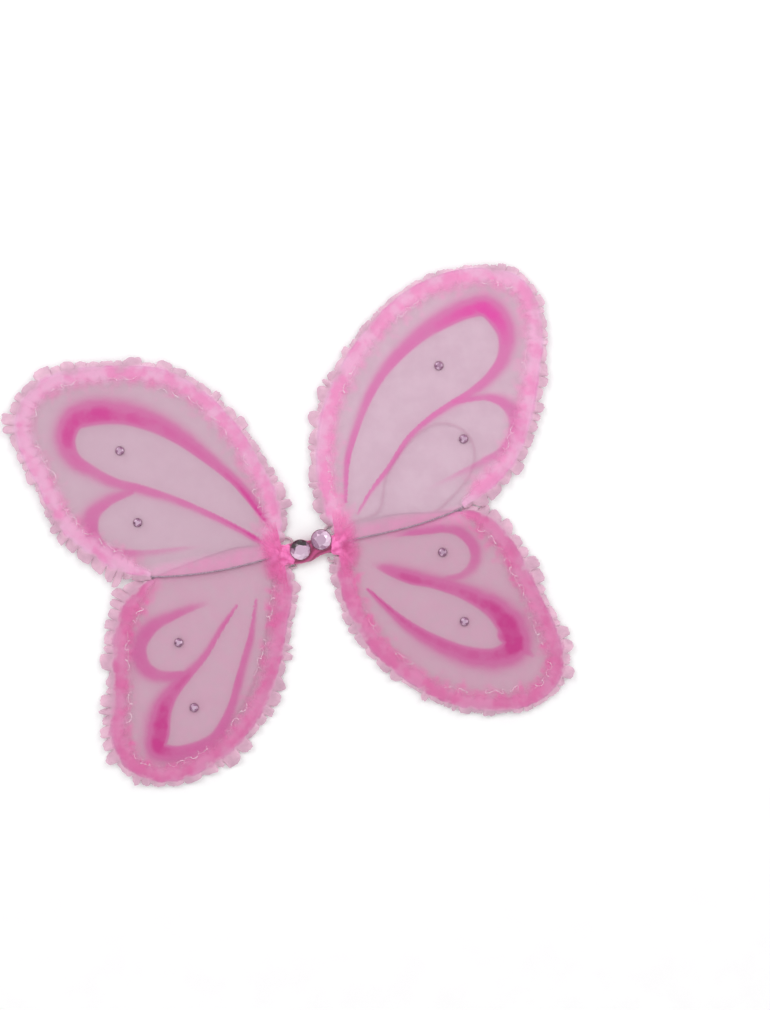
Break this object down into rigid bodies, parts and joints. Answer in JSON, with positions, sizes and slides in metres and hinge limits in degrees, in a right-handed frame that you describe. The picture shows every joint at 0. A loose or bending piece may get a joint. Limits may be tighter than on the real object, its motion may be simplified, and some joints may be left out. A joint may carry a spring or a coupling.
{
  "type": "fairy wings",
  "caption": "Child's fairy wings: sheer painted lobes on wire loops with a gathered frill, faceted stones, a wrapped centre and elastic arm loops",
  "frame": {"origin": "middle of the flat back of the centre wrap, on the surface the wings lie on", "axes": "+X across the wings, to the right with the decorated face up; +Y towards the wearer's head; +Z out of the decorated face, away from the wearer's back"},
  "size_m": [0.5103, 0.4216, 0.0153],
  "materials": {
    "sheer_skin": "sheer lilac-pink nylon with airbrushed magenta veins",
    "organza_trim": "gathered sheer pink organza, crisp and slightly shiny",
    "frame_wire": "thin plastic-coated steel wire",
    "satin_wrap": "dark magenta satin, wrapped tight",
    "ribbon_binding": "hot pink ribbon",
    "elastic_cord": "round braided elastic",
    "faceted_gem": "foil-backed faceted acrylic, pale lilac with dark facets",
    "small_stone": "foil-backed faceted acrylic with a dark rim"
  },
  "bodies": {
    "centre": {"centre_wrap": "satin_wrap", "centre_core": "frame_wire", "left_gem": "faceted_gem", "right_gem": "faceted_gem"},
    "left_wing": {"left_wing_root_binding": "ribbon_binding", "left_wing_upper_wire": "frame_wire", "left_wing_lower_wire": "frame_wire", "left_wing_upper_skin": "sheer_skin", "left_wing_lower_skin": "sheer_skin", "left_wing_upper_trim": "organza_trim", "left_wing_lower_trim": "organza_trim", "left_wing_upper_stone_1": "small_stone", "left_wing_upper_stone_2": "small_stone", "left_wing_lower_stone_1": "small_stone", "left_wing_lower_stone_2": "small_stone"},
    "right_wing": {"right_wing_root_binding": "ribbon_binding", "right_wing_upper_wire": "frame_wire", "right_wing_lower_wire": "frame_wire", "right_wing_upper_skin": "sheer_skin", "right_wing_lower_skin": "sheer_skin", "right_wing_upper_trim": "organza_trim", "right_wing_lower_trim": "organza_trim", "right_wing_upper_stone_1": "small_stone", "right_wing_upper_stone_2": "small_stone", "right_wing_lower_stone_1": "small_stone", "right_wing_lower_stone_2": "small_stone"},
    "left_loop": {"left_arm_loop": "elastic_cord"},
    "right_loop": {"right_arm_loop": "elastic_cord"}
  },
  "joints": [
    {"name": "left_wing_fold", "type": "hinge", "parent": "centre", "child": "left_wing", "pos_m": [-0.02305, 0, 0.0078], "axis": [0, 1, 0], "range_deg": [0, 85]},
    {"name": "right_wing_fold", "type": "hinge", "parent": "centre", "child": "right_wing", "pos_m": [0.02305, 0, 0.0078], "axis": [0, -1, 0], "range_deg": [0, 85]},
    {"name": "left_loop_swing", "type": "hinge", "parent": "centre", "child": "left_loop", "pos_m": [-0.015, 0, 0.0012], "axis": [0, -1, 0], "range_deg": [0, 90]},
    {"name": "right_loop_swing", "type": "hinge", "parent": "centre", "child": "right_loop", "pos_m": [0.015, 0, 0.0012], "axis": [0, 1, 0], "range_deg": [0, 90]}
  ]
}
